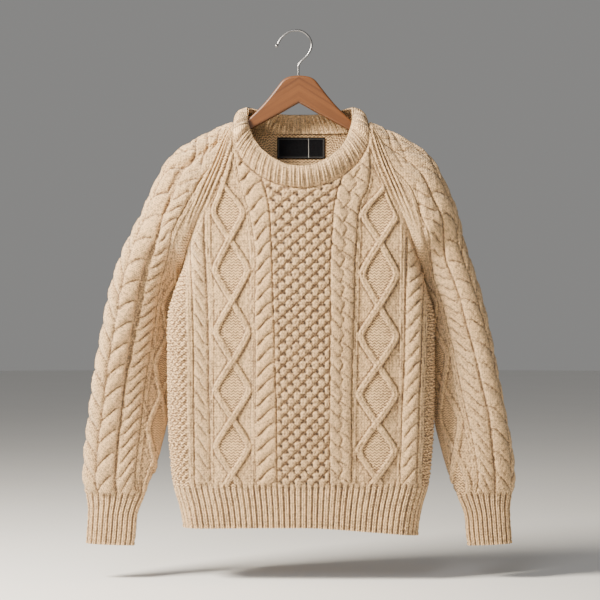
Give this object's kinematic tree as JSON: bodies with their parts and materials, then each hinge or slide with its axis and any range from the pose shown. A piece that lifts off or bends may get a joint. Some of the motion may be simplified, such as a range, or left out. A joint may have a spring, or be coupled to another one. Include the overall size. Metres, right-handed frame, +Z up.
{
  "type": "cable knit sweater on a wooden hanger",
  "caption": "Cream cable knit pullover with raglan sleeves and ribbed edges, hanging open on a shaped wooden hanger with a wire hook.",
  "frame": {"origin": "inside of the hook's bend, where a rail or a nail holds it", "axes": "+Z up, the front faces -Y, +X to the right seen from the front"},
  "size_m": [0.6501, 0.1032, 0.783],
  "materials": {
    "wool": "cream undyed wool, knitted in cables, diamonds and bobbles",
    "wool_rib": "cream undyed wool, ribbed",
    "label": "black woven satin with a plain pale border",
    "wood": "satin lacquered warm brown wood",
    "steel": "polished wire"
  },
  "bodies": {
    "root": {"front": "wool", "back": "wool", "sleeve_left": "wool", "sleeve_right": "wool", "hem_front": "wool_rib", "hem_back": "wool_rib", "cuff_left": "wool_rib", "cuff_right": "wool_rib", "neckband": "wool_rib", "label": "label", "hanger_wood": "wood", "hanger_hook": "steel"}
  },
  "joints": []
}
